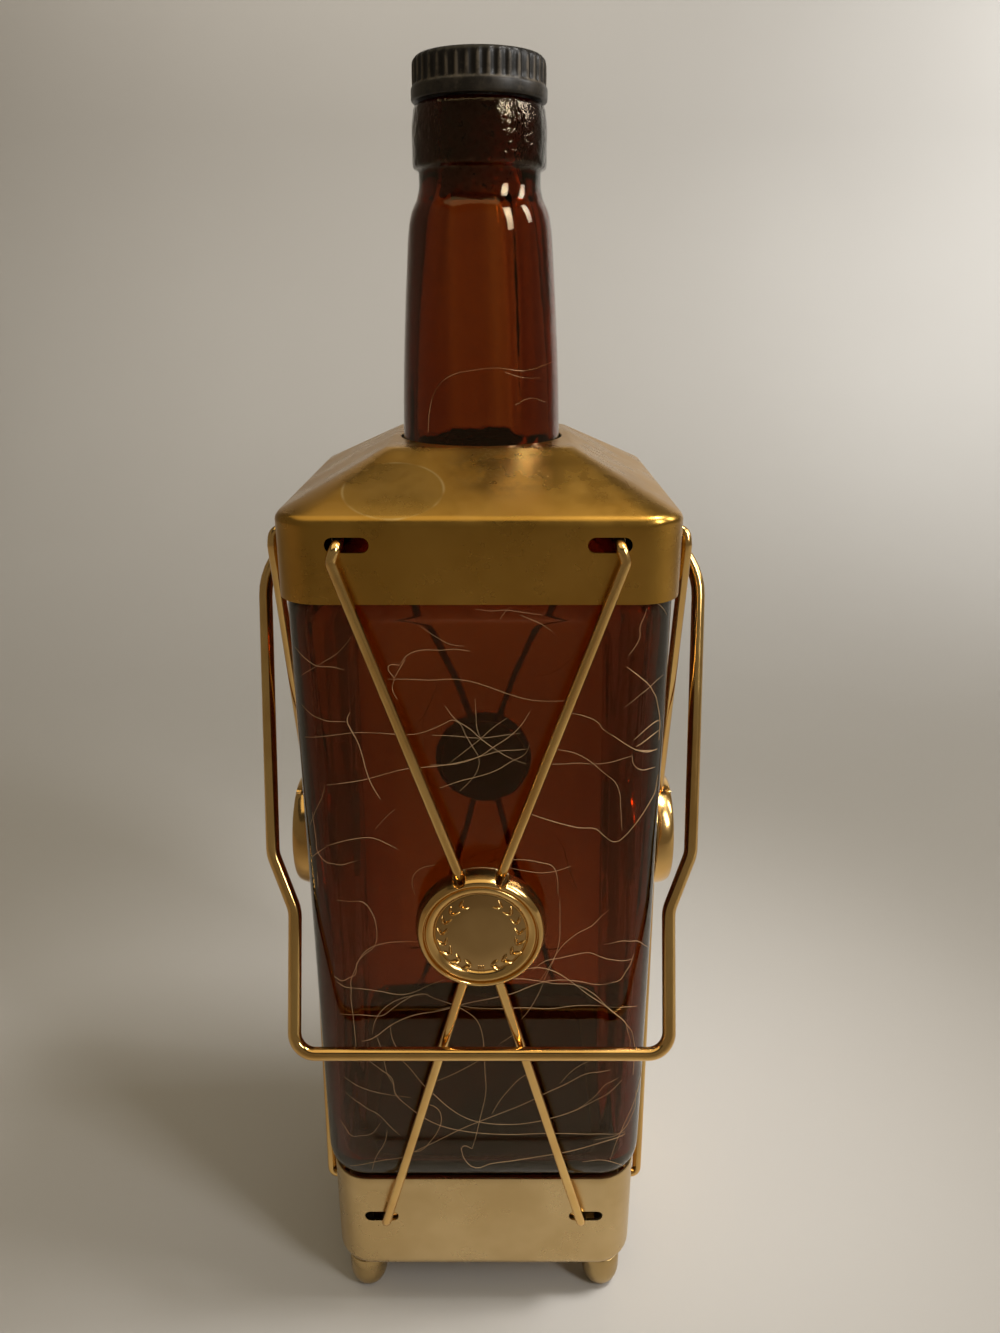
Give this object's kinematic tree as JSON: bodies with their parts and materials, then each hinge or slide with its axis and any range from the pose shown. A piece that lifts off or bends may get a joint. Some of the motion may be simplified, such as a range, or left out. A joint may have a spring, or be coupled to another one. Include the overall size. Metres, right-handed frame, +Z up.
{
  "type": "musical decanter",
  "caption": "Square amber glass decanter held in a gilt metal frame of crossing wires, with a swinging bail handle, a ribbed stopper and a key-wound musical movement in its base.",
  "frame": {"origin": "centre of the floor between the four feet", "axes": "+Z up along the bottle, front towards -Y, the bail handle's pivots along X"},
  "size_m": [0.1202, 0.111, 0.3446],
  "materials": {
    "amber_glass": "clear polished amber glass",
    "black_plastic": "aged matte plastic",
    "cork": "natural cork",
    "satin_gold": "satin gilt sheet",
    "bright_gold": "polished gilt",
    "steel": "brushed",
    "felt": "felt",
    "brass": "turned brass",
    "nylon": "moulded nylon"
  },
  "bodies": {
    "decanter": {"bottle": "amber_glass", "shoulder_cover": "satin_gold", "base_housing": "satin_gold", "foot_front_left": "bright_gold", "foot_screw_front_left": "steel", "foot_front_right": "bright_gold", "foot_screw_front_right": "steel", "foot_back_right": "bright_gold", "foot_screw_back_right": "steel", "foot_back_left": "bright_gold", "foot_screw_back_left": "steel", "frame_wire_front_falling": "bright_gold", "frame_wire_front_rising": "bright_gold", "medallion_front": "bright_gold", "backing_disc_front": "satin_gold", "frame_wire_right_falling": "bright_gold", "frame_wire_right_rising": "bright_gold", "medallion_right": "bright_gold", "backing_disc_right": "satin_gold", "frame_wire_back_falling": "bright_gold", "frame_wire_back_rising": "bright_gold", "medallion_back": "bright_gold", "backing_disc_back": "satin_gold", "frame_wire_left_falling": "bright_gold", "frame_wire_left_rising": "bright_gold", "medallion_left": "bright_gold", "backing_disc_left": "satin_gold", "bottle_rest_pad": "felt", "bottle_rest_plate": "steel", "movement_bedplate": "brass", "movement_screw_1": "steel", "movement_screw_2": "steel", "movement_screw_3": "steel", "comb": "steel", "comb_screw_left": "brass", "comb_screw_right": "brass", "governor_bracket": "steel", "barrel_bridge": "steel", "plunger_spring": "steel", "plunger_bush": "nylon", "lever_stand": "steel", "lever_pin": "brass"},
    "stopper": {"stopper_cap": "black_plastic", "stopper_cork": "cork"},
    "bail": {"bail_handle": "bright_gold"},
    "winder": {"winding_arbor": "steel", "winding_key": "brass"},
    "barrel": {"spring_barrel": "brass", "barrel_lid": "brass", "mainspring": "steel"},
    "cylinder": {"pin_cylinder": "brass", "cylinder_arbor": "steel", "cylinder_wheel": "brass"},
    "governor": {"governor_arbor": "brass"},
    "fan": {"governor_worm": "steel", "governor_fan": "brass"},
    "plunger": {"stop_plunger": "brass"},
    "lever": {"stop_lever": "steel"}
  },
  "joints": [
    {"name": "bail_swing", "type": "hinge", "parent": "decanter", "child": "bail", "pos_m": [0, 0, 0.235], "axis": [-1, 0, 0], "range_deg": [0, 315.6]},
    {"name": "stopper_pull", "type": "slide", "parent": "decanter", "child": "stopper", "axis": [0, 0, 1], "range_m": [0, 0.032]},
    {"name": "key_wind", "type": "hinge", "parent": "decanter", "child": "winder", "pos_m": [0.02176, 0, 0.0175], "axis": [0, 0, 1], "continuous": true},
    {"name": "cylinder_turn", "type": "hinge", "parent": "decanter", "child": "cylinder", "pos_m": [-0.0135, 0, 0.03234], "axis": [1, 0, 0], "continuous": true},
    {"name": "barrel_turn", "type": "hinge", "parent": "decanter", "child": "barrel", "pos_m": [0.02176, 0, 0.0235], "axis": [0, 0, 1], "continuous": true},
    {"name": "governor_turn", "type": "hinge", "parent": "decanter", "child": "governor", "pos_m": [-0.0188, 0.00893, 0.02909], "axis": [1, 0, 0], "continuous": true},
    {"name": "fan_spin", "type": "hinge", "parent": "decanter", "child": "fan", "pos_m": [-0.01431, 0.01543, 0.03], "axis": [0, 0, 1], "continuous": true},
    {"name": "plunger_slide", "type": "slide", "parent": "decanter", "child": "plunger", "axis": [0, 0, 1], "range_m": [-0.003, 0], "stiffness_N_per_m": 60, "springref_m": -0.006, "deforming": ["plunger_spring"]},
    {"name": "lever_turn", "type": "hinge", "parent": "decanter", "child": "lever", "pos_m": [-0.02191, 0.01543, 0.03056], "axis": [0, 1, 0], "range_deg": [-20.5, 0]}
  ],
  "couplings": [
    {"joint": "barrel_turn", "follows": "cylinder_turn", "ratio": -0.33333},
    {"joint": "governor_turn", "follows": "cylinder_turn", "ratio": -2.8},
    {"joint": "fan_spin", "follows": "cylinder_turn", "ratio": 44.8},
    {"joint": "lever_turn", "follows": "plunger_slide", "rad_per_m": 116.28}
  ]
}
